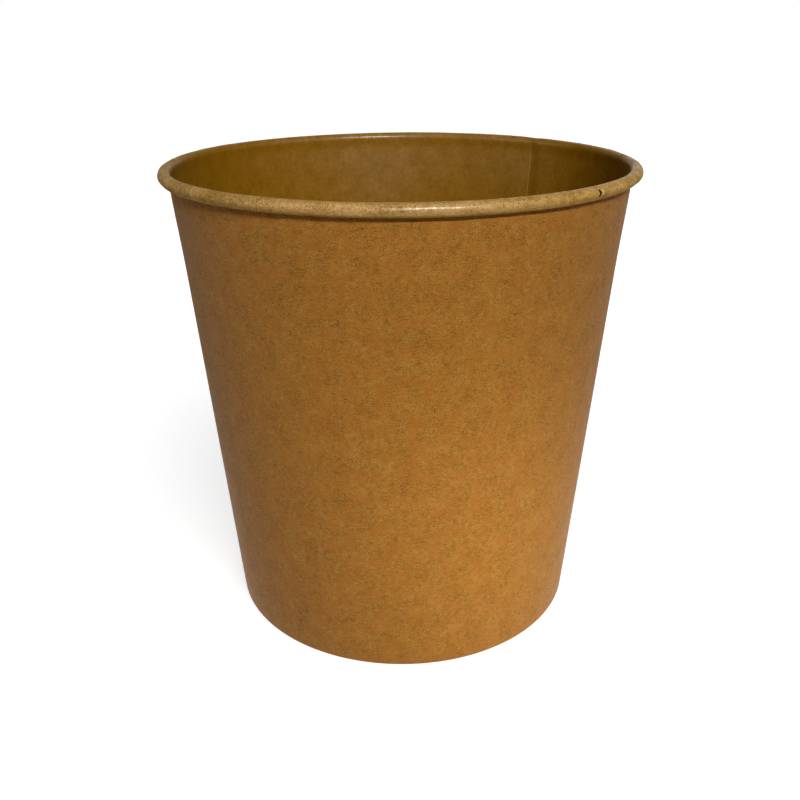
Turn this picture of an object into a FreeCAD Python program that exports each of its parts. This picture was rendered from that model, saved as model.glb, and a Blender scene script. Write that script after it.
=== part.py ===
"""Paper ice cream tub: a round, tapered tub of kraft board with an open top.

The tub is made of two cut pieces of board, as the real one is.

side_wall   one sheet wrapped into a cone. Its two ends lap in a glued seam at the back right. Its
            top edge is rolled outwards into the rim curl, and its bottom edge is folded in and up as
            a hem around the skirt of the base.
base_disc   a round blank whose edge is turned down as a skirt. The skirt is held between the wall
            and the hem, so the floor of the tub sits above the foot.

Millimetres. The foot stands on z = 0, the tub's axis is +Z, and azimuths turn from +X towards +Y.
A section of the wall is drawn between two offsets, counted outwards from the face that is the
inside of the tub: 0 is that face, one board thickness is the back of a single ply, and two are the
back of the outer ply where the ends lap.
"""
import FreeCAD, Part
from collections import namedtuple
import math
import os

import Sketcher

os.makedirs("parts", exist_ok=True)
doc = FreeCAD.newDocument("paper_ice_cream_tub")

# Driving dimensions

SIZES = [
    ("rim_diameter", 117.0, "outside of the rim curl, the size a lid fits"),
    ("overall_height", 117.7, "foot to the top of the rim curl"),
    ("base_diameter", 93.7, "outside of the wall at the foot"),
    ("side_board", 0.40, "thickness of the wall's board"),
    ("curl_diameter", 2.95, "outside of the rolled rim in section"),
    ("curl_gap", 0.08, "air between the curl's first turn and its tail"),
    ("curl_tail", 150.0, "degrees that the tail rolls on past the bottom of the curl"),
    ("seam_tail", 20.0, "the same where the board is doubled and can't roll so far"),
    ("seam_azimuth", 47.0, "where the inner end of the sheet stops, in degrees"),
    ("seam_lap", 8.0, "width of the glued lap at the mouth"),
    ("seam_climb", 4.0, "width over which the outer end steps up onto the lap"),
    ("fold_radius", 0.10, "inside radius of the two folds at the foot"),
    ("hem_height", 7.2, "foot to the cut edge of the hem"),
    ("base_board", 0.35, "thickness of the base's board"),
    ("base_recess", 9.0, "foot to the underside of the base"),
    ("base_bend", 0.40, "inside radius where the base turns down"),
    ("seal_film", 0.05, "coating that seals the skirt, on each side of it"),
    ("skirt_gap", 0.50, "room between the doubled fold of the foot and the skirt"),
]

sheet = doc.addObject("Spreadsheet::Sheet", "Sizes")
for row, (alias, number, meaning) in enumerate(SIZES, start=1):
    sheet.set("A%d" % row, alias)
    sheet.set("B%d" % row, str(number))
    sheet.set("C%d" % row, meaning)
    sheet.setAlias("B%d" % row, alias)
doc.recompute()

# What follows from them, as expressions of the sheet

CURL_R = "(Sizes.curl_diameter / 2)"
TAIL_R = "(Sizes.curl_diameter / 2 - Sizes.side_board - Sizes.curl_gap)"
CURL_X = "(Sizes.rim_diameter / 2 - Sizes.curl_diameter / 2)"
CURL_Z = "(Sizes.overall_height - Sizes.curl_diameter / 2)"
FOLD_X = "(Sizes.base_diameter / 2 - Sizes.side_board - Sizes.fold_radius)"
FOLD_Z = "(Sizes.side_board + Sizes.fold_radius)"
SPAN_X = "(%s - %s)" % (CURL_X, FOLD_X)
SPAN_Z = "(%s - %s)" % (CURL_Z, FOLD_Z)
WALL_ANGLE = "(atan({x} / {z}) - asin(({c} + Sizes.fold_radius) / sqrt({x} ^ 2 + {z} ^ 2)))".format(
    x=SPAN_X, z=SPAN_Z, c=CURL_R)
SKIRT_SLOT = "(Sizes.base_board + 2 * Sizes.seal_film)"
MOUTH_R = "(Sizes.rim_diameter / 2 - Sizes.curl_diameter)"
LAP_ANGLE = "(Sizes.seam_lap / %s * 180 / pi)" % MOUTH_R
CLIMB_ANGLE = "(Sizes.seam_climb / %s * 180 / pi)" % MOUTH_R
HEM_FOLD_X = "({x} - ({slot} - 2 * Sizes.fold_radius) / cos({lean}))".format(
    x=FOLD_X, slot=SKIRT_SLOT, lean=WALL_ANGLE)
INSIDE = "(0 * Sizes.side_board)"
ONE_PLY = "(Sizes.side_board)"
TWO_PLIES = "(2 * Sizes.side_board)"


def value(expression):
    """The number that an expression of the sheet gives now."""
    result = sheet.evalExpression(expression)
    return float(getattr(result, "Value", result))


# Sketch helpers

START, END, CENTRE = 1, 2, 3
RADIUS_AXIS, TUB_AXIS = -1, -2
ORIGIN = (RADIUS_AXIS, START)


def radial_sketch(body, name, azimuth):
    """A sketch on the half plane through the axis at an azimuth: x is the radius, y the height."""
    sketch = body.newObject("Sketcher::SketchObject", name)
    plane = [f for f in body.Origin.OriginFeatures if f.Role == "XZ_Plane"][0]
    sketch.AttachmentSupport = (plane, [""])
    sketch.MapMode = "FlatFace"
    turn = FreeCAD.Rotation(FreeCAD.Vector(0, 1, 0), value(azimuth))
    sketch.AttachmentOffset = FreeCAD.Placement(FreeCAD.Vector(0, 0, 0), turn)
    sketch.setExpression("AttachmentOffset.Rotation.Angle", azimuth)
    return sketch


def add_line(sketch, start, end):
    """A straight edge between two points."""
    ends = [FreeCAD.Vector(x, z, 0) for x, z in (start, end)]
    return sketch.addGeometry(Part.LineSegment(*ends), False)


def add_arc(sketch, centre, radius, start, end):
    """A round edge about a centre, counter-clockwise between two angles in radians."""
    circle = Part.Circle(FreeCAD.Vector(centre[0], centre[1], 0), FreeCAD.Vector(0, 0, 1), radius)
    return sketch.addGeometry(Part.ArcOfCircle(circle, start, end), False)


def bind(sketch, kind, *where, size):
    """A dimension of the sketch that an expression of the sheet sets."""
    number = value(size)
    if kind == "Angle":
        number = math.radians(number)
    index = sketch.addConstraint(Sketcher.Constraint(kind, *where, number))
    sketch.setExpression("Constraints[%d]" % index, size)


def tie(sketch, kind, *where):
    """A relation between edges that has no size."""
    sketch.addConstraint(Sketcher.Constraint(kind, *where))


def shifted(point, *steps):
    """A point moved by steps, each a direction and a length."""
    x, z = point
    for (dx, dz), length in steps:
        x, z = x + dx * length, z + dz * length
    return x, z


def wall_directions():
    """Unit vectors up the wall and square out of it, and the wall's lean in radians."""
    lean = math.radians(value(WALL_ANGLE))
    up = (math.sin(lean), math.cos(lean))
    out = (math.cos(lean), -math.sin(lean))
    return up, out, lean


# The wall's section: the hem, the folds of the foot, the wall and the curl

Face = namedtuple("Face", "hem hem_fold flat foot_fold wall curl tail")


def wall_section(body, name, azimuth, near, far, tail):
    """Section of the sheet from a near to a far offset, its tail rolled on by an angle.

    A section of two plies stands on the same plane as a single one, so its inner ply is lifted by
    one board. The lift follows the wall's lean, and the hem's fold keeps its radius from the axis.
    """
    sketch = radial_sketch(body, name, azimuth)
    up, out, lean = wall_directions()
    near_offset, far_offset = value(near), value(far)

    lift = "(%s - Sizes.side_board)" % far
    foot_x = "%s + %s * tan(%s)" % (FOLD_X, lift, WALL_ANGLE)
    hem_fold_r = "(Sizes.fold_radius - {lift} * sin({lean}) / (1 + sin({lean})))".format(
        lift=lift, lean=WALL_ANGLE)
    hem_end_z = "Sizes.hem_height + %s * sin(%s)" % (near, WALL_ANGLE)

    curl_r, tail_r = value(CURL_R), value(TAIL_R)
    foot_r, hem_r = value("Sizes.fold_radius"), value(hem_fold_r)
    foot_centre = (value(foot_x), far_offset + foot_r)
    hem_centre = (value(HEM_FOLD_X), far_offset + hem_r)
    curl_centre = (value(CURL_X), value(CURL_Z))
    tail_centre = (curl_centre[0], curl_centre[1] - (curl_r - tail_r))

    bottom = -0.5 * math.pi
    wall_side = math.pi - lean
    tail_end = bottom - math.radians(value(tail))
    tail_way = (math.cos(tail_end), math.sin(tail_end))

    def hem_foot(offset):
        """Where the hem leaves its fold."""
        return shifted(hem_centre, (out, -(hem_r + offset)))

    def hem_top(offset):
        """The hem's cut edge, which is square to the sheet."""
        foot = hem_foot(near_offset)
        climb = (value(hem_end_z) - foot[1]) / up[1]
        return shifted(foot, (up, climb), (out, near_offset - offset))

    def tail_tip(offset):
        """The tail's cut edge, which is square to the sheet."""
        return shifted(tail_centre, (tail_way, tail_r - offset))

    def draw_face(offset):
        """The edges of one face of the sheet, from the hem's cut edge to the tail's."""
        flat = far_offset - offset
        wall_foot = shifted(foot_centre, (out, foot_r + offset))
        wall_top = shifted(curl_centre, (out, offset - curl_r))
        return Face(
            hem=add_line(sketch, hem_top(offset), hem_foot(offset)),
            hem_fold=add_arc(sketch, hem_centre, hem_r + offset, wall_side, bottom + 2 * math.pi),
            flat=add_line(sketch, (hem_centre[0], flat), (foot_centre[0], flat)),
            foot_fold=add_arc(sketch, foot_centre, foot_r + offset, bottom, -lean),
            wall=add_line(sketch, wall_foot, wall_top),
            curl=add_arc(sketch, curl_centre, curl_r - offset, bottom, wall_side),
            tail=add_arc(sketch, tail_centre, tail_r - offset, tail_end, bottom),
        )

    inner = draw_face(near_offset)
    tail_edge = add_line(sketch, tail_tip(near_offset), tail_tip(far_offset))
    outer = draw_face(far_offset)
    hem_edge = add_line(sketch, hem_top(far_offset), hem_top(near_offset))

    for face, offset in ((inner, near), (outer, far)):
        tie(sketch, "Tangent", face.hem, END, face.hem_fold, START)
        tie(sketch, "Tangent", face.hem_fold, END, face.flat, START)
        tie(sketch, "Tangent", face.flat, END, face.foot_fold, START)
        tie(sketch, "Tangent", face.foot_fold, END, face.wall, START)
        tie(sketch, "Tangent", face.wall, END, face.curl, END)
        tie(sketch, "Tangent", face.curl, START, face.tail, END)
        tie(sketch, "Vertical", face.curl, CENTRE, face.tail, CENTRE)
        bind(sketch, "Radius", face.hem_fold, size="%s + %s" % (hem_fold_r, offset))
        bind(sketch, "Radius", face.foot_fold, size="Sizes.fold_radius + %s" % offset)
        bind(sketch, "Radius", face.curl, size="%s - %s" % (CURL_R, offset))
        bind(sketch, "Radius", face.tail, size="%s - %s" % (TAIL_R, offset))

    tie(sketch, "Coincident", inner.hem_fold, CENTRE, outer.hem_fold, CENTRE)
    tie(sketch, "Coincident", inner.foot_fold, CENTRE, outer.foot_fold, CENTRE)
    tie(sketch, "Coincident", inner.curl, CENTRE, outer.curl, CENTRE)
    tie(sketch, "Coincident", inner.tail, START, tail_edge, START)
    tie(sketch, "Coincident", tail_edge, END, outer.tail, START)
    tie(sketch, "Coincident", outer.hem, START, hem_edge, START)
    tie(sketch, "Coincident", hem_edge, END, inner.hem, START)
    tie(sketch, "PointOnObject", inner.tail, CENTRE, tail_edge)
    bind(sketch, "Angle", tail_edge, size="90 - %s" % tail)

    tie(sketch, "Horizontal", outer.flat)
    tie(sketch, "PointOnObject", outer.flat, START, RADIUS_AXIS)
    tie(sketch, "Parallel", inner.hem, inner.wall)
    tie(sketch, "Parallel", outer.hem, inner.hem)
    tie(sketch, "Perpendicular", hem_edge, inner.hem)
    bind(sketch, "Distance", inner.hem, START, inner.wall, size="%s + 2 * %s" % (SKIRT_SLOT, near))
    bind(sketch, "DistanceY", *ORIGIN, inner.hem, START, size=hem_end_z)
    bind(sketch, "DistanceX", *ORIGIN, inner.foot_fold, CENTRE, size=foot_x)
    bind(sketch, "DistanceX", *ORIGIN, inner.curl, CENTRE, size=CURL_X)
    bind(sketch, "DistanceY", *ORIGIN, inner.curl, CENTRE, size=CURL_Z)
    return sketch


def turn_about_axis(body, name, sketch, angle):
    """Turn a section about the tub's axis by an expression in degrees."""
    feature = body.newObject("PartDesign::Revolution", name)
    feature.Profile = sketch
    feature.ReferenceAxis = (sketch, ["V_Axis"])
    feature.Angle = value(angle)
    feature.setExpression("Angle", angle)
    doc.recompute()
    return feature


def make_side_wall():
    """The wrapped sheet: one ply most of the way round, two in the lap, and the step between."""
    body = doc.addObject("PartDesign::Body", "side_wall")
    body.Label = "side_wall"

    seam, full_tail, short_tail = "Sizes.seam_azimuth", "Sizes.curl_tail", "Sizes.seam_tail"
    lap_end = "%s + %s" % (seam, LAP_ANGLE)
    climb_start = "%s - %s" % (seam, CLIMB_ANGLE)

    single = wall_section(body, "single_ply_section", lap_end, INSIDE, ONE_PLY, full_tail)
    turn_about_axis(body, "single_ply", single, "360 - %s - %s" % (LAP_ANGLE, CLIMB_ANGLE))

    double = wall_section(body, "lap_section", seam, INSIDE, TWO_PLIES, short_tail)
    turn_about_axis(body, "lap", double, LAP_ANGLE)

    low = wall_section(body, "climb_start_section", climb_start, INSIDE, ONE_PLY, short_tail)
    high = wall_section(body, "climb_end_section", seam, ONE_PLY, TWO_PLIES, short_tail)
    climb = body.newObject("PartDesign::AdditiveLoft", "climb")
    climb.Profile = low
    climb.Sections = [high]
    climb.Ruled = True
    doc.recompute()
    return body


# The base: a disc with its edge turned down along the wall


def make_base_disc():
    """The floor of the tub and the skirt that the wall and the hem hold."""
    body = doc.addObject("PartDesign::Body", "base_disc")
    body.Label = "base_disc"
    sketch = radial_sketch(body, "base_section", "Sizes.seam_azimuth")
    up, out, lean = wall_directions()
    board, bend = value("Sizes.base_board"), value("Sizes.base_bend")
    under, film = value("Sizes.base_recess"), value("Sizes.seal_film")
    top = under + board
    skirt_end = "(%s + Sizes.fold_radius + Sizes.skirt_gap)" % TWO_PLIES
    curl_centre = (value(CURL_X), value(CURL_Z))

    def skirt_point(depth, height):
        """The point at a height, a depth inside the skirt's outer face."""
        start = shifted(curl_centre, (out, -(value(CURL_R) + film + depth)))
        return shifted(start, (up, (height - start[1]) / up[1]))

    bend_centre = skirt_point(board + bend, under - bend)
    outer_bend = shifted(bend_centre, (out, board + bend))
    inner_bend = shifted(bend_centre, (out, bend))
    outer_foot = skirt_point(0, value(skirt_end))
    inner_foot = shifted(outer_foot, (out, -board))

    floor = add_line(sketch, (0, top), (bend_centre[0], top))
    outer_arc = add_arc(sketch, bend_centre, board + bend, -lean, 0.5 * math.pi)
    outer_skirt = add_line(sketch, outer_bend, outer_foot)
    cut_edge = add_line(sketch, outer_foot, inner_foot)
    inner_skirt = add_line(sketch, inner_foot, inner_bend)
    inner_arc = add_arc(sketch, bend_centre, bend, -lean, 0.5 * math.pi)
    underside = add_line(sketch, (bend_centre[0], under), (0, under))
    middle = add_line(sketch, (0, under), (0, top))
    curl_mark = sketch.addGeometry(Part.Point(FreeCAD.Vector(curl_centre[0], curl_centre[1], 0)), True)

    tie(sketch, "Tangent", floor, END, outer_arc, END)
    tie(sketch, "Tangent", outer_arc, START, outer_skirt, START)
    tie(sketch, "Coincident", outer_skirt, END, cut_edge, START)
    tie(sketch, "Coincident", cut_edge, END, inner_skirt, START)
    tie(sketch, "Tangent", inner_skirt, END, inner_arc, START)
    tie(sketch, "Tangent", inner_arc, END, underside, START)
    tie(sketch, "Coincident", underside, END, middle, START)
    tie(sketch, "Coincident", middle, END, floor, START)
    tie(sketch, "Coincident", outer_arc, CENTRE, inner_arc, CENTRE)
    tie(sketch, "Horizontal", floor)
    tie(sketch, "Horizontal", underside)
    tie(sketch, "Vertical", middle)
    tie(sketch, "PointOnObject", middle, START, TUB_AXIS)
    tie(sketch, "Perpendicular", cut_edge, outer_skirt)
    tie(sketch, "Parallel", inner_skirt, outer_skirt)
    bind(sketch, "Radius", inner_arc, size="Sizes.base_bend")
    bind(sketch, "Radius", outer_arc, size="Sizes.base_bend + Sizes.base_board")
    bind(sketch, "DistanceY", *ORIGIN, underside, START, size="Sizes.base_recess")
    bind(sketch, "DistanceX", *ORIGIN, curl_mark, START, size=CURL_X)
    bind(sketch, "DistanceY", *ORIGIN, curl_mark, START, size=CURL_Z)
    bind(sketch, "Angle", outer_skirt, size="-90 deg - %s" % WALL_ANGLE)
    bind(sketch, "Distance", curl_mark, START, outer_skirt, size="%s + Sizes.seal_film" % CURL_R)
    bind(sketch, "DistanceY", *ORIGIN, outer_skirt, END, size=skirt_end)
    turn_about_axis(body, "base_blank", sketch, "360")
    return body


PIECES = [make_side_wall(), make_base_disc()]
doc.recompute()

# Nothing is written unless every object and every piece is sound

for obj in doc.Objects:
    if "Invalid" in obj.State or "Error" in obj.State:
        raise RuntimeError("%s failed: %s" % (obj.Name, obj.State))
for piece in PIECES:
    if piece.Shape.isNull() or not piece.Shape.isValid() or len(piece.Shape.Solids) != 1:
        raise RuntimeError("%s is not one sound solid" % piece.Label)
for piece in PIECES:
    piece.Shape.exportStep("parts/%s.step" % piece.Label)
    box = piece.Shape.optimalBoundingBox()
    print("%s: %.1f x %.1f x %.1f mm, %.2f cm3" % (
        piece.Label, box.XLength, box.YLength, box.ZLength, piece.Shape.Volume / 1000))
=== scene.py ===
"""Looks of the paper ice cream tub: a wrapped sheet of kraft board and the base that it holds."""
import math

import bpy
import numpy as np
from mathutils import Matrix, Vector


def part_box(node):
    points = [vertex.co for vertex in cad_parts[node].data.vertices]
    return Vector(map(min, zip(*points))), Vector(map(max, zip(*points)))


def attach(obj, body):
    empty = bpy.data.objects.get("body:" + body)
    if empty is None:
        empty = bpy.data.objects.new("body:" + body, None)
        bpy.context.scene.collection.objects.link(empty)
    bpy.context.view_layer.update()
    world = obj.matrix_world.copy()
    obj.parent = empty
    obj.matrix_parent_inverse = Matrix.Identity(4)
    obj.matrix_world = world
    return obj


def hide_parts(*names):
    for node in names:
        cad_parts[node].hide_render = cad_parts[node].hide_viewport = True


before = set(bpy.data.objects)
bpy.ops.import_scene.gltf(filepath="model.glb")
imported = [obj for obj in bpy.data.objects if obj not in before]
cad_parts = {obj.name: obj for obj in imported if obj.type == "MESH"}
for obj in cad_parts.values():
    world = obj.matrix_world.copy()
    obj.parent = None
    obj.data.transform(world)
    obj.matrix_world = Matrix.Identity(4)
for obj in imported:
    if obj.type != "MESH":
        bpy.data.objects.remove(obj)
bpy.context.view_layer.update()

# Sizes in millimetres, as the solids have them

MM = 0.001
wall_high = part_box("side_wall")[1]
RIM_RADIUS = wall_high.x / MM
HEIGHT = wall_high.z / MM
FOOT_RADIUS = 93.7 / 2
BOARD = 0.40
CURL_RADIUS = 2.95 / 2
CURL_GAP = 0.08
CURL_TAIL = math.radians(150)
SEAM_TAIL = math.radians(20)
SEAM_AZIMUTH = math.radians(47)
SEAM_LAP = 8.0
SEAM_CLIMB = 4.0
FOLD_RADIUS = 0.10
HEM_HEIGHT = 7.2
BASE_BOARD = 0.35
BASE_RECESS = 9.0
BASE_BEND = 0.40
SEAL_FILM = 0.05
SKIRT_GAP = 0.50

TAIL_RADIUS = CURL_RADIUS - BOARD - CURL_GAP
CURL_CENTRE = (RIM_RADIUS - CURL_RADIUS, HEIGHT - CURL_RADIUS)
FOLD_CENTRE = (FOOT_RADIUS - BOARD - FOLD_RADIUS, BOARD + FOLD_RADIUS)
SKIRT_SLOT = BASE_BOARD + 2 * SEAL_FILM
MOUTH_RADIUS = RIM_RADIUS - 2 * CURL_RADIUS
TURN = 2 * math.pi

span_x = CURL_CENTRE[0] - FOLD_CENTRE[0]
span_z = CURL_CENTRE[1] - FOLD_CENTRE[1]
LEAN = math.atan2(span_x, span_z) - math.asin((CURL_RADIUS + FOLD_RADIUS) / math.hypot(span_x, span_z))
UP = (math.sin(LEAN), math.cos(LEAN))
OUT = (math.cos(LEAN), -math.sin(LEAN))

# What the photograph shows beside the plain sizes

# The wall spreads a little below the curl, and comes back from that just under it
NECK_FLARE = 0.24
NECK_REACH = 22.0
NECK_RISE = 18.0
NECK_RETURN = 2.4

# Where the board is doubled, the curl is pressed thinner, and the inner end of the sheet is thinned
RIM_PRESS = 0.7
PRESS_BEFORE, PRESS_AFTER = 4.0, 1.0
SKIVE_DEPTH = 0.7 * BOARD
SKIVE_REACH = 4.0

# A small tear in the curl near the front right and a pinch in it near the front left
NICK_AZIMUTH, NICK_HALF = math.radians(-45.3), 1.4
CREASE_AZIMUTH, CREASE_HALF = math.radians(-137.5), 1.0


def smooth(x):
    """Zero below 0, one above 1 and an easy curve between."""
    x = np.clip(x, 0.0, 1.0)
    return x * x * (3 - 2 * x)


# The two blanks, flat as they are cut

# Steps are counted along a section. A pitch is a column's width, in millimetres round the rim or as an angle
PLAIN, COATED, CUT = 0, 1, 2
HEM_STEPS, FOLD_STEPS, WALL_STEPS, NECK_STEPS, CURL_STEPS, TAIL_STEPS = 5, 4, 18, 16, 44, 10
FLOOR_STEPS, BEND_STEPS, SKIRT_STEPS, BASE_COLUMNS = 18, 6, 8, 240
SEAM_PITCH, MARK_PITCH, WALL_PITCH = 0.35, 0.1, math.radians(1.2)
FOOT_STATION = HEM_STEPS + FOLD_STEPS + 1 + FOLD_STEPS
CURL_STATION = FOOT_STATION + WALL_STEPS + NECK_STEPS
CURL_END = CURL_STATION + CURL_STEPS
LAP_ANGLE = SEAM_LAP / MOUTH_RADIUS
CLIMB_ANGLE = SEAM_CLIMB / MOUTH_RADIUS


def arc(centre, radius, start, end, steps):
    """Points round an arc, without its first one."""
    angles = [start + (end - start) * step / steps for step in range(1, steps + 1)]
    return [(centre[0] + radius * math.cos(a), centre[1] + radius * math.sin(a)) for a in angles]


def line(start, end, steps):
    """Points along a line, without its first one."""
    shares = [step / steps for step in range(1, steps + 1)]
    return [tuple(a + (b - a) * share for a, b in zip(start, end)) for share in shares]


def wall_section():
    """Radius and height of the wall's coated face, from the hem's cut edge to the end of the curl."""
    hem = (FOLD_CENTRE[0] - (SKIRT_SLOT - 2 * FOLD_RADIUS) / math.cos(LEAN), FOLD_CENTRE[1])
    hem_foot = (hem[0] - FOLD_RADIUS * OUT[0], hem[1] - FOLD_RADIUS * OUT[1])
    climb = (HEM_HEIGHT - hem_foot[1]) / UP[1]
    hem_top = (hem_foot[0] + climb * UP[0], hem_foot[1] + climb * UP[1])
    wall_top = (CURL_CENTRE[0] - CURL_RADIUS * OUT[0], CURL_CENTRE[1] - CURL_RADIUS * OUT[1])
    tail_centre = (CURL_CENTRE[0], CURL_CENTRE[1] - (CURL_RADIUS - TAIL_RADIUS))
    down = -0.5 * math.pi
    path = [hem_top] + line(hem_top, hem_foot, HEM_STEPS)
    path += arc(hem, FOLD_RADIUS, math.pi - LEAN, 1.5 * math.pi, FOLD_STEPS)
    path += [(FOLD_CENTRE[0], FOLD_CENTRE[1] - FOLD_RADIUS)]
    path += arc(FOLD_CENTRE, FOLD_RADIUS, down, -LEAN, FOLD_STEPS)
    below = (wall_top[0] - NECK_REACH * UP[0], wall_top[1] - NECK_REACH * UP[1])
    path += line(path[-1], below, WALL_STEPS)
    crowding = 1.6
    for share in np.linspace(1, 0, NECK_STEPS + 1)[1:]:
        left = NECK_REACH * share ** crowding
        flare = NECK_FLARE * float(smooth((NECK_REACH - left) / NECK_RISE) * smooth(left / NECK_RETURN))
        path.append(tuple(top - left * up + flare * out for top, up, out in zip(wall_top, UP, OUT)))
    path += arc(CURL_CENTRE, CURL_RADIUS, math.pi - LEAN, down, CURL_STEPS)
    path += arc(tail_centre, TAIL_RADIUS, down, down - CURL_TAIL, TAIL_STEPS)
    return np.array(path)


def base_section():
    """Radius and height of the base's coated face, from the middle of the floor to the skirt's foot."""
    bottom = 2 * BOARD + FOLD_RADIUS + SKIRT_GAP
    under = BASE_RECESS - BASE_BEND

    def skirt(depth, height):
        side = CURL_RADIUS + SEAL_FILM + depth
        x, z = CURL_CENTRE[0] - side * OUT[0], CURL_CENTRE[1] - side * OUT[1]
        return (x + (height - z) * math.tan(LEAN), height)

    bend = skirt(BASE_BOARD + BASE_BEND, under)
    outer = BASE_BEND + BASE_BOARD
    path = [(0.0, under + outer)] + line((0.0, under + outer), (bend[0], under + outer), FLOOR_STEPS)
    path += arc(bend, outer, 0.5 * math.pi, -LEAN, BEND_STEPS)
    path += line(path[-1], skirt(0, bottom), SKIRT_STEPS)
    return np.array(path)


def lengths_along(path):
    """How far along its section each point lies."""
    return np.concatenate([[0], np.cumsum(np.hypot(*np.diff(path, axis=0).T))])


def column_turns():
    """Angles along the wall's blank from its inner end, close together where there is more to show."""
    end, tiny = TURN + LAP_ANGLE, 1e-9
    fine = [(0, 2 * LAP_ANGLE, SEAM_PITCH), (TURN - 1.5 * CLIMB_ANGLE, end, SEAM_PITCH)]
    for azimuth, half in ((NICK_AZIMUTH, NICK_HALF), (CREASE_AZIMUTH, CREASE_HALF)):
        middle = (azimuth - SEAM_AZIMUTH) % TURN
        fine.append((middle - half / RIM_RADIUS, middle + half / RIM_RADIUS, MARK_PITCH))
    turns = [0.0]
    while turns[-1] < end - tiny:
        here = turns[-1]
        step = WALL_PITCH
        for low, high, pitch in fine:
            if low - tiny <= here < high - tiny:
                step = min(step, pitch / RIM_RADIUS, high - here)
            elif here < low:
                step = min(step, low - here)
        turns.append(min(here + step, end))
    return np.array(turns)


def angles_down_curl():
    """For each station of the wall's section, the angle down and outwards from the curl's top."""
    share = (np.arange(CURL_END + TAIL_STEPS + 1) - CURL_STATION) / CURL_STEPS
    return LEAN - 0.5 * math.pi + share * (1.5 * math.pi - LEAN)


def places_on_curl(turns, azimuth):
    """For each station its angle down the curl, for each column its way round the rim from an azimuth."""
    across = (SEAM_AZIMUTH + turns - azimuth + math.pi) % TURN - math.pi
    return angles_down_curl()[None, :], (across * RIM_RADIUS)[:, None]


def nick_marks(turns):
    """A small tear across the outside of the curl, bent like an arrowhead, with a raised flap beside it.

    Gives its relief in millimetres, where it is torn and where its flap is.
    """
    middle, slope, shift = math.radians(81), 0.6, 0.2
    depth, width, half_length, fade = 0.33, 0.34, 0.6, 0.35
    flap_height, flap_width, flap_length, flap_across, flap_along = 0.1, 0.25, 0.55, 0.85, -0.15
    down, across = places_on_curl(turns, NICK_AZIMUTH)
    along = (down - middle) * CURL_RADIUS
    across = across + slope * np.abs(along) - shift
    cleft = np.exp(-((across / width) ** 2)) * (1 - smooth((np.abs(along) - half_length) / fade))
    flap = ((across - flap_across) / flap_width) ** 2 + ((along - flap_along) / flap_length) ** 2
    flap = np.exp(-flap)
    return flap_height * flap - depth * cleft, cleft, flap


def crease_marks(turns):
    """A faint pinch across the curl, where the board buckled as it was rolled.

    Gives its relief in millimetres and where its ridge is.
    """
    start, end, fade = -0.3, 2.4, 0.4
    height, width = 0.04, 0.2
    dip, dip_width, dip_across = 0.02, 0.3, -0.5
    down, across = places_on_curl(turns, CREASE_AZIMUTH)
    reach = smooth((down - start) / fade) * (1 - smooth((down - end) / fade))
    ridge = reach * np.exp(-((across / width) ** 2))
    return height * ridge - dip * reach * np.exp(-(((across - dip_across) / dip_width) ** 2)), ridge


def curl_tone_and_painted_light_share():
    """How far each station takes the curl's paler tones: none inside, full outside, and less under the curl
    as painted shade. The paler tones are partly the board's fibres opened by rolling and partly painted light
    on the curl's bright top.
    """
    starts, full, fades, faded, underside_painted_shade = -60, 30, 75, 110, 0.36
    down = np.degrees(angles_down_curl())
    opened = smooth((down - starts) / (full - starts))
    return opened * (1 - underside_painted_shade * smooth((down - fades) / (faded - fades)))


def skive_relief(turns, lengths):
    """How far the coated face sinks towards the inner end of the sheet, which is thinned to lie smooth."""
    past = lengths - lengths[CURL_STATION] + PRESS_BEFORE
    pressed = 1 - RIM_PRESS * smooth(past / (PRESS_BEFORE + PRESS_AFTER))
    return -SKIVE_DEPTH * np.outer(1 - smooth(turns * MOUTH_RADIUS / SKIVE_REACH), pressed)


def cut_blank(name, lengths, turns, flat, marks, inner_edge, ends):
    """A flat blank as a closed mesh, with x along its section, y its turn about the axis and z its face.

    The coated face has z 0 and the plain one z 1. flat is where each point lies on the cut sheet, in
    millimetres, and each mark is a number for each point of both faces. The inner edge is coated over,
    and the outer edge and both ends are bare cuts.
    """
    columns, count = len(turns), len(lengths)
    across, along = np.meshgrid(turns, lengths * MM, indexing="ij")
    points = np.stack([np.stack([along, across, 0 * along + side], -1) for side in (0, 1)])
    coated, plain = np.arange(2 * columns * count).reshape(2, columns, count)

    def strip(a, b, c, d):
        return np.stack([a, b, c, d], -1).reshape(-1, 4)

    parts = [(COATED, strip(coated[:-1, :-1], coated[:-1, 1:], coated[1:, 1:], coated[1:, :-1])),
             (PLAIN, strip(plain[:-1, :-1], plain[1:, :-1], plain[1:, 1:], plain[:-1, 1:])),
             (CUT, strip(coated[:-1, -1], plain[:-1, -1], plain[1:, -1], coated[1:, -1]))]
    if inner_edge:
        parts.append((COATED, strip(coated[:-1, 0], coated[1:, 0], plain[1:, 0], plain[:-1, 0])))
    if ends:
        parts.append((CUT, strip(coated[0, :-1], plain[0, :-1], plain[0, 1:], coated[0, 1:])))
        parts.append((CUT, strip(coated[-1, :-1], coated[-1, 1:], plain[-1, 1:], plain[-1, :-1])))
    faces = np.concatenate([quads for finish, quads in parts])
    finishes = np.concatenate([np.full(len(quads), finish, np.int32) for finish, quads in parts])
    mesh = bpy.data.meshes.new(name)
    mesh.from_pydata(points.reshape(-1, 3).tolist(), [], faces.tolist())
    corners = np.concatenate([flat, flat]).reshape(-1, 2)[faces.ravel()]
    mesh.uv_layers.new(name="blank").uv.foreach_set("vector", corners.astype(np.float32).ravel())
    for label, values in marks.items():
        mark = mesh.attributes.new(label, "FLOAT", "POINT")
        mark.data.foreach_set("value", values.astype(np.float32).ravel())
    mesh.attributes.new("finish", "INT", "FACE").data.foreach_set("value", finishes)
    blank = bpy.data.objects.new(name, mesh)
    bpy.context.scene.collection.objects.link(blank)
    return blank


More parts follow.
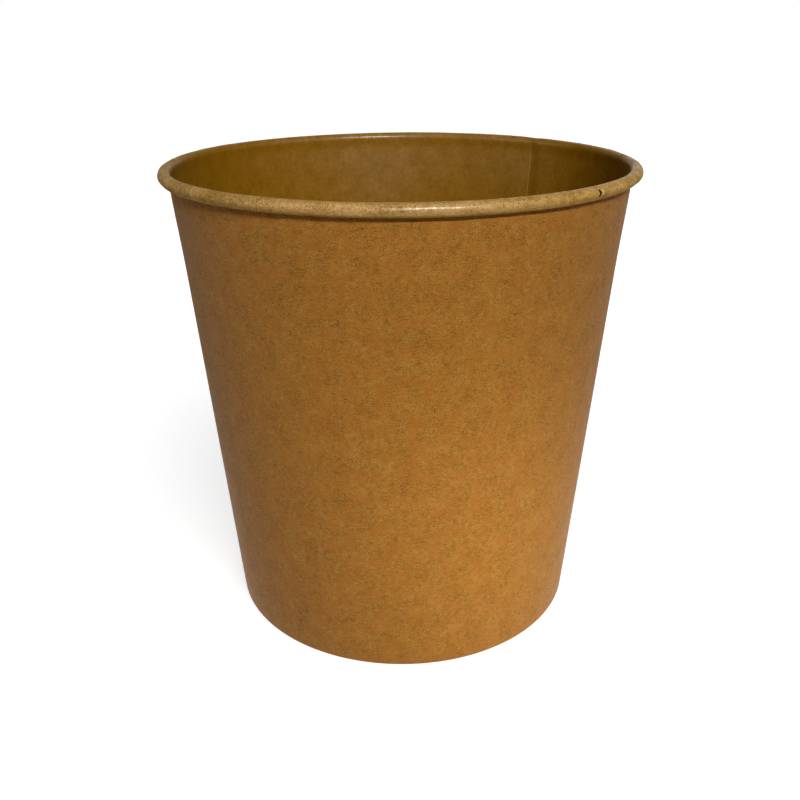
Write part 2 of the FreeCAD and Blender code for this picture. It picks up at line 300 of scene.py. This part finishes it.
def draw_section(name, path):
    """A section as a plain curve, in metres, for the wrapping to follow."""
    curve = bpy.data.curves.new(name, "CURVE")
    curve.dimensions = "3D"
    spline = curve.splines.new("POLY")
    spline.points.add(len(path) - 1)
    spline.points.foreach_set("co", np.array([(x * MM, 0, z * MM, 1) for x, z in path], np.float32).ravel())
    drawn = bpy.data.objects.new(name, curve)
    bpy.context.scene.collection.objects.link(drawn)
    return drawn


# Nodes, for the wrapping and for the materials

class Wiring:
    """Short ways to add and join the nodes of one tree."""

    def __init__(self, tree):
        self.tree = tree

    def node(self, kind, inputs=None, **settings):
        made = self.tree.nodes.new(kind)
        for name, setting in settings.items():
            setattr(made, name, setting)
        for name, source in (inputs or {}).items():
            self.feed(made.inputs[name], source)
        return made

    def feed(self, socket, source):
        if isinstance(source, bpy.types.NodeSocket):
            self.tree.links.new(source, socket)
        else:
            socket.default_value = source

    def math(self, operation, *sources, clamp=False):
        made = self.node("ShaderNodeMath", operation=operation, use_clamp=clamp)
        for socket, source in zip(made.inputs, sources):
            self.feed(socket, source)
        return made.outputs[0]

    def vector(self, operation, *sources):
        made = self.node("ShaderNodeVectorMath", operation=operation)
        for socket, source in zip(made.inputs, sources):
            self.feed(socket, source)
        return made.outputs[0]

    def plus(self, first, second):
        return self.math("ADD", first, second)

    def minus(self, first, second):
        return self.math("SUBTRACT", first, second)

    def times(self, first, second):
        return self.math("MULTIPLY", first, second)

    def scaled(self, source, scale):
        made = self.node("ShaderNodeVectorMath", {0: source, "Scale": scale}, operation="SCALE")
        return made.outputs[0]

    def range(self, source, low, high, to_low=0.0, to_high=1.0, easing="LINEAR"):
        made = self.node("ShaderNodeMapRange", interpolation_type=easing)
        limits = {"Value": source, "From Min": low, "From Max": high, "To Min": to_low, "To Max": to_high}
        for name, value in limits.items():
            self.feed(made.inputs[name], value)
        return made.outputs["Result"]

    def ease(self, source, low, high):
        return self.range(source, low, high, easing="SMOOTHSTEP")

    def noise(self, vector, scale, detail=2.0, roughness=0.5, seed=None, output="Fac"):
        made = self.node("ShaderNodeTexNoise", noise_dimensions="2D" if seed is None else "4D")
        settings = {"Vector": vector, "Scale": scale, "Detail": detail, "Roughness": roughness}
        for name, value in settings.items():
            self.feed(made.inputs[name], value)
        if seed is not None:
            self.feed(made.inputs["W"], seed)
        return made.outputs[output]

    def mix(self, share, first, second):
        made = self.node("ShaderNodeMix", data_type="RGBA")
        for position, source in ((0, share), (6, first), (7, second)):
            self.feed(made.inputs[position], source)
        return made.outputs[2]


FLOAT, VECTOR, COUNT = "NodeSocketFloat", "NodeSocketVector", "NodeSocketInt"


def group(name, kind, inputs, outputs):
    """An empty node group with named sockets, its wiring, and its input and output nodes."""
    tree = bpy.data.node_groups.new(name, kind)
    for label, socket_type, default in inputs:
        socket = tree.interface.new_socket(label, in_out="INPUT", socket_type=socket_type)
        if default is not None:
            socket.default_value = default
    for label, socket_type in outputs:
        tree.interface.new_socket(label, in_out="OUTPUT", socket_type=socket_type)
    w = Wiring(tree)
    return tree, w, w.node("NodeGroupInput").outputs, w.node("NodeGroupOutput").inputs


# Wrapping a blank round the axis

# Each slow wave: how quickly it changes round the tub, its own place in the noise and its detail
OVAL_WAVE = (0.8, 0.3, 1.0)
RIPPLE_WAVE = (2.2, 7.3, 1.0)
SWELL_WAVE = (9.0, 13.3, 3.0)
RISE_WAVE = (7.0, 19.3, 3.0)
DIP_WAVE = (1.5, 23.3, 1.0)
SQUEEZE_WAVE = (6.0, 29.3, 2.0)

# How far the curl is rolled, in radians, where its squeeze is none and where it is full, at either end
SQUEEZE_IN = (1.2, 1.7)
SQUEEZE_OUT = (4.6, 4.0)


def make_wrap_tree(finishes):
    """Bends a flat blank along its section and wraps it round the axis, one end lapping the other.

    The lapping end climbs on to the first one, and both feet make room for that. Where the board is
    doubled, the curl is pressed thinner and its hidden tail is short. The curl is squeezed a little out
    of its round, and slow waves keep the tub from being a perfect cone.
    """
    tree, w, given, result = group("wrap_blank", "GeometryNodeTree", [
        ("Blank", "NodeSocketGeometry", None), ("Section", "NodeSocketObject", None),
        ("Board", FLOAT, 0.0004), ("Lap Rise", FLOAT, 0.0), ("Lap Angle", FLOAT, 0.1),
        ("Climb Angle", FLOAT, 0.1), ("Seam Azimuth", FLOAT, 0.0), ("Lean", FLOAT, 0.0),
        ("Height", FLOAT, 0.1), ("Foot", FLOAT, 0.0), ("Curl Start", FLOAT, 1.0), ("Curl End", FLOAT, 1.0),
        ("Seam Tail", FLOAT, 1.0), ("Rim Press", FLOAT, 0.0), ("Curl Radius", FLOAT, 1.0),
        ("Curl Squeeze", FLOAT, 0.0), ("Curl Wander", FLOAT, 0.0), ("Out Of Round", FLOAT, 0.0),
        ("Ripple", FLOAT, 0.0), ("Seed", COUNT, 1)],
        [("Wrapped", "NodeSocketGeometry")])
    blank = w.node("ShaderNodeSeparateXYZ", {0: w.node("GeometryNodeInputPosition").outputs[0]})
    along, turn, side = blank.outputs
    lap, climb, lean = given["Lap Angle"], given["Climb Angle"], given["Lean"]
    curl_start, curl_end = given["Curl Start"], given["Curl End"]

    climb_start = w.minus(TURN, climb)
    rising = w.ease(turn, climb_start, TURN)
    under = w.minus(1.0, w.ease(turn, lap, w.plus(lap, climb)))
    over = w.ease(turn, w.minus(climb_start, climb), climb_start)
    near = w.times(given["Lap Rise"], rising)
    twofold = w.math("MAXIMUM", rising, under)
    lift = w.times(given["Lap Rise"], twofold)
    tail = w.range(w.math("MAXIMUM", over, under), 0.0, 1.0, 1.0, given["Seam Tail"])

    beyond = w.math("MAXIMUM", w.minus(along, curl_end), 0.0)
    reach = w.math("MULTIPLY_ADD", beyond, tail, w.math("MINIMUM", along, curl_end))
    drawn = w.node("GeometryNodeObjectInfo", {"Object": given["Section"]}).outputs["Geometry"]
    sample = w.node("GeometryNodeSampleCurve", {"Curves": drawn}, mode="LENGTH")
    w.feed(sample.inputs["Length"], reach)
    at = w.node("ShaderNodeSeparateXYZ", {0: sample.outputs["Position"]}).outputs
    heading = w.node("ShaderNodeSeparateXYZ", {0: sample.outputs["Tangent"]}).outputs
    relief = w.node("GeometryNodeInputNamedAttribute", {"Name": "relief"}, data_type="FLOAT")
    rolled = w.ease(reach, w.minus(curl_start, PRESS_BEFORE * MM), w.plus(curl_start, PRESS_AFTER * MM))
    pressed = w.minus(1.0, w.times(rolled, given["Rim Press"]))
    doubled = w.range(twofold, 0.0, 1.0, 1.0, pressed)
    depth = w.math("MULTIPLY_ADD", w.times(side, given["Board"]), doubled, w.times(near, pressed))
    depth = w.minus(depth, relief.outputs["Attribute"])

    azimuth = w.plus(turn, given["Seam Azimuth"])
    east, north = w.math("COSINE", azimuth), w.math("SINE", azimuth)
    ring = w.node("ShaderNodeCombineXYZ", {"X": east, "Y": north}).outputs[0]

    def wander(vector, scale, number, detail):
        seed = w.plus(given["Seed"], number)
        return w.range(w.noise(vector, scale, detail, 0.5, seed), 0.25, 0.75, -1.0, 1.0)

    rolled_by = w.math("DIVIDE", w.minus(reach, curl_start), given["Curl Radius"])
    slant = w.math("SINE", w.times(w.plus(rolled_by, lean), 2.0))
    outside = w.times(w.ease(rolled_by, *SQUEEZE_IN), w.ease(rolled_by, *SQUEEZE_OUT))
    squeeze = w.times(w.times(slant, outside), given["Curl Squeeze"])
    depth = w.math("MULTIPLY_ADD", squeeze, wander(ring, *SQUEEZE_WAVE), depth)
    radius = w.math("MULTIPLY_ADD", heading[2], depth, at[0])
    height = w.minus(at[2], w.times(heading[0], depth))

    held = w.times(lift, w.range(reach, given["Foot"], curl_start, 1.0, 0.0))
    radius = w.math("MULTIPLY_ADD", held, w.math("TANGENT", lean), radius)
    height = w.plus(held, height)

    up = w.math("DIVIDE", height, given["Height"])
    ring_up = w.node("ShaderNodeCombineXYZ", {"X": east, "Y": north, "Z": up}).outputs[0]
    on_curl = w.ease(reach, w.minus(curl_start, 2 * MM), curl_start)
    oval = w.times(wander(ring, *OVAL_WAVE), given["Out Of Round"])
    oval = w.times(oval, w.range(up, 0.0, 1.0, 0.3, 1.0))
    ripple = w.times(wander(ring_up, *RIPPLE_WAVE), given["Ripple"])
    ripple = w.times(ripple, w.math("SINE", w.times(up, math.pi)))
    swell = w.times(w.times(wander(ring, *SWELL_WAVE), given["Curl Wander"]), on_curl)
    radius = w.plus(radius, w.plus(oval, w.plus(ripple, swell)))
    rise = w.times(w.times(wander(ring, *RISE_WAVE), given["Curl Wander"]), on_curl)
    dip = w.times(w.times(wander(ring, *DIP_WAVE), given["Out Of Round"]), w.math("POWER", up, 6.0))
    height = w.plus(height, w.math("MULTIPLY_ADD", dip, 0.6, rise))

    place = w.node("ShaderNodeCombineXYZ", {
        "X": w.times(radius, east), "Y": w.times(radius, north), "Z": height})
    moved = w.node("GeometryNodeSetPosition", {"Geometry": given["Blank"], "Position": place.outputs[0]})
    joined = w.node("GeometryNodeMergeByDistance", {"Geometry": moved.outputs[0], "Distance": 1e-6})
    shown = w.node("GeometryNodeRealizeInstances", {"Geometry": joined.outputs[0]}).outputs[0]
    finish = w.node("GeometryNodeInputNamedAttribute", {"Name": "finish"}, data_type="INT")
    for number, material in enumerate(finishes):
        chosen = w.node("FunctionNodeCompare", {2: finish.outputs["Attribute"], 3: number},
                        data_type="INT", operation="EQUAL")
        painted = w.node("GeometryNodeSetMaterial", {"Geometry": shown, "Selection": chosen.outputs[0]})
        painted.inputs["Material"].default_value = material
        shown = painted.outputs[0]
    w.feed(result["Wrapped"], shown)
    return tree


def wrap(blank, tree, sizes):
    """Wraps a blank with the tree at the given sizes, and leaves it a plain mesh."""
    modifier = blank.modifiers.new("wrap", "NODES")
    modifier.node_group = tree
    for item in tree.interface.items_tree:
        if item.in_out == "INPUT" and item.name in sizes:
            modifier[item.identifier] = sizes[item.name]
    evaluated = blank.evaluated_get(bpy.context.evaluated_depsgraph_get())
    mesh = bpy.data.meshes.new_from_object(evaluated, preserve_all_data_layers=True,
                                           depsgraph=bpy.context.evaluated_depsgraph_get())
    blank.modifiers.clear()
    blank.data = mesh
    mesh.validate()
    mesh.polygons.foreach_set("use_smooth", [True] * len(mesh.polygons))
    mesh.set_sharp_from_angle(angle=math.radians(38))
    bpy.data.objects.remove(sizes["Section"])
    return blank


SHARED_SIZES = {
    "Seam Azimuth": SEAM_AZIMUTH, "Lean": LEAN, "Height": HEIGHT * MM, "Out Of Round": 0.10 * MM, "Seed": 8}


def make_side_wall(tree):
    """The wall: one sheet from its inner end round to the outer end that laps over it."""
    turns = column_turns()
    path = wall_section()
    lengths = lengths_along(path)
    ring = path[FOOT_STATION, 0] / math.sin(LEAN)
    out = ring + lengths - lengths[FOOT_STATION]
    bearing = (turns - turns.mean()) * math.sin(LEAN)
    flat = np.stack([np.outer(np.sin(bearing), out), np.outer(np.cos(bearing), out) - ring], -1)
    nick, torn, flap = nick_marks(turns)
    crease, ridge = crease_marks(turns)
    relief = nick + crease + skive_relief(turns, lengths)
    none = np.zeros_like(relief)
    # Paler tones over the curl, partly painted light, with painted shade under it
    worked_and_painted_light = none + curl_tone_and_painted_light_share()
    marks = {"relief": np.stack([relief * MM, none]), "torn": np.stack([torn, none]),
             "frayed": np.stack([np.maximum(flap, 0.6 * ridge), none]), "worked_and_painted_light": np.stack([worked_and_painted_light, worked_and_painted_light])}
    blank = cut_blank("side_wall_blank", lengths, turns, flat, marks, inner_edge=True, ends=True)
    glue_film = 0.01
    return wrap(blank, tree, SHARED_SIZES | {
        "Section": draw_section("wall_section", path), "Board": BOARD * MM,
        "Lap Rise": (BOARD + glue_film) * MM, "Lap Angle": LAP_ANGLE, "Climb Angle": CLIMB_ANGLE,
        "Foot": lengths[FOOT_STATION] * MM, "Curl Start": lengths[CURL_STATION] * MM,
        "Curl End": lengths[CURL_END] * MM, "Seam Tail": SEAM_TAIL / CURL_TAIL, "Rim Press": RIM_PRESS,
        "Curl Radius": CURL_RADIUS * MM, "Curl Squeeze": 0.13 * MM, "Curl Wander": 0.035 * MM,
        "Ripple": 0.05 * MM})


def make_base_disc(tree):
    """The base: a disc with its edge turned down, its floor bowed a little as pressed board is."""
    turns = np.linspace(0, TURN, BASE_COLUMNS + 1)
    path = base_section()
    lengths = lengths_along(path)
    flat = np.stack([np.outer(np.cos(turns), lengths), np.outer(np.sin(turns), lengths)], -1)
    sag, warping, warp_turn, warp_middle, warp_fade = 0.16, 0.05, 0.6, 25, 18
    bow = -sag * (1 - smooth(lengths / lengths[FLOOR_STEPS]))
    swept = smooth(lengths / warp_middle) * (1 - smooth((lengths - warp_middle) / warp_fade))
    warp = warping * np.outer(np.cos(2 * turns + warp_turn), swept)
    relief = bow[None, :] + warp
    none = np.zeros_like(relief)
    marks = {"relief": np.stack([relief * MM, relief * MM])}
    marks |= {label: np.stack([none, none]) for label in ("torn", "frayed", "worked_and_painted_light")}
    blank = cut_blank("base_disc_blank", lengths, turns, flat, marks, inner_edge=False, ends=False)
    section = draw_section("base_section", path)
    return wrap(blank, tree, SHARED_SIZES | {"Section": section, "Board": BASE_BOARD * MM})


# Materials

# Closeness, detail and roughness of the board's three cloudy patterns
CLOUD_NOISE = (0.2, 3.0, 0.65)
MOTTLE_NOISE = (0.8, 2.0, 0.6)
GRAIN_NOISE = (3.4, 1.0, 0.6)

# Bearing, length and width of the strands, and how close and how far shifted the curled hairs are
STRANDS = ((4, 1.5, 0.24), (-27, 1.2, 0.22), (31, 1.1, 0.22), (78, 0.9, 0.24))
HAIRS = ((0.55, 3.0), (0.8, 40.0))

# Colours are as on screen. shift is where a finish starts on the patterns. The curl's tones are paler, partly
# from its rolled board and partly as painted light on its bright top
SHEET_PATTERN = {"Cloud": 0.6, "Mottle": 0.45, "Fibre": 3.5, "Grain": 1.35}
COATED_PATTERN = {"Cloud": 0.9, "Mottle": 0.4, "Fibre": 0.8, "Grain": 0.3}
FINISHES = {
    "kraft_plain": {
        "dark": (104, 61, 5), "light": (166, 117, 48), "warm": (152, 93, 27), "roughness": 0.78,
        "relief": 0.6, "shift": 0.0, "pattern": SHEET_PATTERN, "specular": 0.09, "sheen": 0.07},
    "kraft_coated": {
        "dark": (112, 75, 6), "light": (150, 107, 20), "warm": (137, 88, 12), "roughness": 0.5,
        "relief": 0.3, "shift": 57.0, "pattern": COATED_PATTERN, "specular": 0.02, "sheen": 0.0,
        "coat": 1.0, "worked_and_painted_light": ((114, 80, 28), (204, 162, 92))},
    "kraft_cut": {
        "dark": (140, 105, 64), "light": (206, 170, 122), "warm": (180, 138, 88), "roughness": 0.9,
        "relief": 1.0, "shift": 23.0, "pattern": SHEET_PATTERN, "specular": 0.04, "sheen": 0.07}}
FRAYED_FIBRE = (236, 204, 150)
# Painted shade in the tear, where the hollow of the curl shows through
TEAR_PAINTED_SHADE = (40, 22, 6)


def srgb(red, green, blue):
    """A colour given as 0 to 255 on screen, as the shaders want it."""
    parts = [part / 255 for part in (red, green, blue)]
    return (*[p / 12.92 if p <= 0.04045 else ((p + 0.055) / 1.055) ** 2.4 for p in parts], 1.0)


def make_fibre_group():
    """The fibres of unbleached board, laid out on the flat blank in millimetres."""
    tree, w, given, result = group("board_fibres", "ShaderNodeTree", [
        ("Blank", VECTOR, None), ("Shift", FLOAT, 0.0), ("Cloud", FLOAT, 0.5), ("Mottle", FLOAT, 0.5),
        ("Fibre", FLOAT, 0.5), ("Grain", FLOAT, 0.5)],
        [("Tone", FLOAT), ("Hue", FLOAT), ("Height", FLOAT)])
    offset = w.node("ShaderNodeCombineXYZ", {"X": given["Shift"], "Y": given["Shift"]}).outputs[0]
    place = w.vector("ADD", given["Blank"], offset)
    cloud = w.minus(w.noise(place, *CLOUD_NOISE), 0.5)
    mottle = w.minus(w.noise(place, *MOTTLE_NOISE), 0.5)
    grain = w.minus(w.noise(place, *GRAIN_NOISE), 0.5)
    bend = w.vector("SUBTRACT", w.noise(place, 0.5, 1.0, output="Color"), (0.5, 0.5, 0.5))
    bent = w.vector("ADD", place, w.scaled(bend, 1.2))
    fibres = None
    for bearing, length, width in STRANDS:
        laid = w.node("ShaderNodeMapping", {
            "Vector": bent, "Rotation": (0, 0, math.radians(bearing)), "Scale": (1 / length, 1 / width, 1)})
        strand = w.minus(w.noise(laid.outputs[0], 1.0, 1.0), 0.5)
        strand = w.times(strand, w.math("ABSOLUTE", strand))
        strand = w.math("MAXIMUM", strand, w.times(strand, 0.36))
        fibres = strand if fibres is None else w.plus(fibres, strand)
    for closeness, shift in HAIRS:
        curled = w.noise(w.vector("ADD", bent, (shift, shift, 0)), closeness, 1.0)
        hair = w.range(w.math("ABSOLUTE", w.minus(curled, 0.5)), 0.0, 0.022, 1.0, 0.0)
        patches = w.noise(w.vector("ADD", place, (shift, 0, 0)), 0.9, 1.0)
        fibres = w.math("MULTIPLY_ADD", hair, w.range(patches, 0.5, 0.62, 0.0, 0.035), fibres)
    tone = w.times(cloud, given["Cloud"])
    tone = w.math("MULTIPLY_ADD", mottle, given["Mottle"], tone)
    tone = w.math("MULTIPLY_ADD", fibres, given["Fibre"], tone)
    tone = w.math("MULTIPLY_ADD", grain, given["Grain"], tone)
    w.feed(result["Tone"], w.math("ADD", tone, 0.5, clamp=True))
    w.feed(result["Hue"], w.noise(place, 0.3, 3.0, 0.6))
    w.feed(result["Height"], w.math("MULTIPLY_ADD", grain, 0.6, w.math("MULTIPLY_ADD", fibres, 3.0, mottle)))
    return tree


def board_material(name, fibres, dark, light, warm, roughness, relief, shift, pattern, specular, sheen,
                   coat=0.0, worked_and_painted_light=None):
    """Kraft board: two tones that its fibres mix, a warmer drift, and the relief of its face.

    A coated face is glossy where it is seen straight on and dull at a slant, and less so on its marks. Its
    paler curl tones are partly painted light, dimmed as painted shade under the curl.
    """
    material = bpy.data.materials.new(name)
    material.use_nodes = True
    w = Wiring(material.node_tree)
    shader = material.node_tree.nodes["Principled BSDF"]
    place = w.node("ShaderNodeUVMap", uv_map="blank").outputs["UV"]
    board = w.node("ShaderNodeGroup", node_tree=fibres)
    w.feed(board.inputs["Blank"], place)
    board.inputs["Shift"].default_value = shift
    for label, amount in pattern.items():
        board.inputs[label].default_value = amount
    tone = board.outputs["Tone"]
    colour = w.mix(tone, srgb(*dark), srgb(*light))
    colour = w.mix(w.range(board.outputs["Hue"], 0.4, 0.65, 0.0, 0.5), colour, srgb(*warm))

    # The curl's paler tones: partly its rolled board, partly painted light on its bright top, dimmer under
    # the curl as painted shade
    worked_and_painted_light_mask = w.node("ShaderNodeAttribute", attribute_name="worked_and_painted_light").outputs["Fac"]
    flecks = w.range(w.noise(place, 2.6, 2.0, 0.7), 0.3, 0.7, -0.3, 0.3)
    speckle = w.math("ADD", tone, flecks, clamp=True)
    low_tone, high_tone = worked_and_painted_light or (dark, light)
    colour = w.mix(worked_and_painted_light_mask, colour, w.mix(speckle, srgb(*low_tone), srgb(*high_tone)))
    frayed = w.node("ShaderNodeAttribute", attribute_name="frayed").outputs["Fac"]
    colour = w.mix(w.times(frayed, 0.6), colour, srgb(*FRAYED_FIBRE))
    torn = w.node("ShaderNodeAttribute", attribute_name="torn").outputs["Fac"]
    # Where torn the coat is gone and the colour goes dark: painted shade in the tear's hollow
    bare = w.range(torn, 0.15, 0.5)
    colour = w.mix(bare, colour, srgb(*TEAR_PAINTED_SHADE))
    w.feed(shader.inputs["Base Color"], colour)
    w.feed(shader.inputs["Roughness"], w.range(tone, 0.3, 0.7, roughness + 0.05, roughness - 0.05))
    shader.inputs["Specular IOR Level"].default_value = specular
    shader.inputs["Sheen Weight"].default_value = sheen
    if coat:
        facing = w.node("ShaderNodeLayerWeight", {"Blend": 0.5}).outputs["Facing"]
        gloss = w.range(facing, 0.06, 0.42, coat, 0.02, easing="SMOOTHSTEP")
        gloss = w.times(gloss, w.range(speckle, 0.2, 0.9, 0.45, 1.25))
        w.feed(shader.inputs["Coat Weight"], w.times(gloss, w.minus(1.0, bare)))
        shader.inputs["Coat Roughness"].default_value = 0.3
    bump = w.node("ShaderNodeBump", {
        "Height": board.outputs["Height"], "Strength": relief, "Distance": 0.03 * MM})
    w.feed(shader.inputs["Normal"], bump.outputs["Normal"])
    return material


def make_materials():
    """The board's finishes: plain outside, coated inside and over the rim, and bare cut edges."""
    fibres = make_fibre_group()
    return [board_material(name, fibres, **finish) for name, finish in FINISHES.items()]


# Camera, light and floor

def place_camera():
    """The photograph's view: its centre, tilt and angle of view were fitted to the tub's outlines."""
    focal_pixels, frame_pixels, sensor = 863.7, 800, 36.0
    centre = Vector((0.83, -219.96, 148.39)) * MM
    pitch, yaw, roll = (math.radians(a) for a in (23.543, -0.342, -0.433))
    ahead = Vector((math.sin(yaw) * math.cos(pitch), math.cos(yaw) * math.cos(pitch), -math.sin(pitch)))
    right = Vector((math.cos(yaw), -math.sin(yaw), 0))
    up = right.cross(ahead)
    right, up = math.cos(roll) * right + math.sin(roll) * up, math.cos(roll) * up - math.sin(roll) * right
    data = bpy.data.cameras.new("camera")
    data.sensor_width = sensor
    data.lens = sensor * focal_pixels / frame_pixels
    data.clip_start = 0.01
    camera = bpy.data.objects.new("camera", data)
    camera.matrix_world = Matrix.Translation(centre) @ Matrix((right, up, -ahead)).transposed().to_4x4()
    bpy.context.scene.collection.objects.link(camera)
    bpy.context.scene.camera = camera


AMBIENT = 0.06

# Each lamp: bearing to the camera's right, elevation, distance, width, height, watts, height aimed at, spread
LAMPS = {
    "front_strip": (15, 34, 0.85, 0.34, 0.05, 6.1, 0.06, 180),
    "table_front": (26, 4, 0.20, 0.06, 0.04, 0.0062, 0.040, 42),
    "table_right": (42, 0, 0.14, 0.06, 0.03, 0.0155, 0.002, 78),
    "left_fill": (-80, 10, 0.60, 0.30, 0.30, 0.27, 0.05, 180),
    "back_fill": (170, 10, 0.90, 0.50, 0.50, 1.7, 0.06, 180)}


def soft_lamp(name, bearing, elevation, distance, width, height, watts, aim, spread):
    """A flat soft lamp turned to the tub's axis, unseen itself. spread is its cone of light, in degrees."""
    bearing, elevation = math.radians(bearing), math.radians(elevation)
    level = distance * math.cos(elevation)
    target = Vector((0, 0, aim))
    away = Vector((level * math.sin(bearing), -level * math.cos(bearing), distance * math.sin(elevation)))
    place = target + away
    data = bpy.data.lights.new(name, "AREA")
    data.shape = "RECTANGLE"
    data.size = width
    data.size_y = height
    data.spread = math.radians(spread)
    data.energy = watts
    lamp = bpy.data.objects.new(name, data)
    lamp.location = place
    lamp.rotation_euler = (target - place).to_track_quat("-Z", "Y").to_euler()
    lamp.visible_camera = False
    bpy.context.scene.collection.objects.link(lamp)


def light_scene():
    """Plain soft studio light: a pale room, soft lamps round the tub and the glow of a bright table."""
    world = bpy.data.worlds.new("studio")
    bpy.context.scene.world = world
    world.use_nodes = True
    w = Wiring(world.node_tree)
    background = world.node_tree.nodes["Background"]
    rays = w.node("ShaderNodeLightPath").outputs
    seen = w.math("MAXIMUM", rays["Is Camera Ray"], rays["Is Transmission Ray"])
    seen = w.math("MAXIMUM", seen, rays["Is Glossy Ray"])
    background.inputs["Color"].default_value = (1, 1, 1, 1)
    w.feed(background.inputs["Strength"], w.range(seen, 0.0, 1.0, AMBIENT, 1.0))
    for name, settings in LAMPS.items():
        soft_lamp(name, *settings)


def build_floor():
    """A plain pale floor that keeps the tub's shadow and fades to white further off.

    For glossy rays alone it glows brightest close to the foot, up to three times white: a painted reflection
    of a bright table in the board's dull gloss.
    """
    half = 3.0
    mesh = bpy.data.meshes.new("floor")
    corners = [(-half, -half, 0), (half, -half, 0), (half, half, 0), (-half, half, 0)]
    mesh.from_pydata(corners, [], [(0, 1, 2, 3)])
    floor = bpy.data.objects.new("floor", mesh)
    bpy.context.scene.collection.objects.link(floor)
    material = bpy.data.materials.new("floor_paper")
    material.use_nodes = True
    w = Wiring(material.node_tree)
    shader = material.node_tree.nodes["Principled BSDF"]
    shader.inputs["Base Color"].default_value = (0.5, 0.5, 0.5, 1)
    shader.inputs["Roughness"].default_value = 0.9
    shader.inputs["Specular IOR Level"].default_value = 0.0
    shader.inputs["Emission Color"].default_value = (1, 1, 1, 1)
    place = w.node("ShaderNodeTexCoord").outputs["Object"]
    away = w.node("ShaderNodeVectorMath", {0: place}, operation="LENGTH").outputs["Value"]
    rays = w.node("ShaderNodeLightPath").outputs
    glow = w.range(away, 0.06, 0.26, 0.72, 1.0, easing="SMOOTHSTEP")
    # Painted reflection: the floor glows for glossy rays only, strongest near the foot
    painted_reflection = w.range(away, 0.06, 0.22, 3.0, 0.25, easing="SMOOTHSTEP")
    seen = w.times(rays["Is Camera Ray"], glow)
    backdrop_and_painted_reflection = w.math("MULTIPLY_ADD", rays["Is Glossy Ray"], painted_reflection, seen)
    w.feed(shader.inputs["Emission Strength"], backdrop_and_painted_reflection)
    mesh.materials.append(material)


# The tub

wrap_tree = make_wrap_tree(make_materials())
wall_piece = make_side_wall(wrap_tree)
base_piece = make_base_disc(wrap_tree)
for piece, node, slot in ((wall_piece, "side_wall", "wall_board"), (base_piece, "base_disc", "base_board")):
    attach(piece, "root")
    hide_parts(node)

place_camera()
light_scene()
build_floor()
bpy.context.scene.view_settings.view_transform = "Standard"
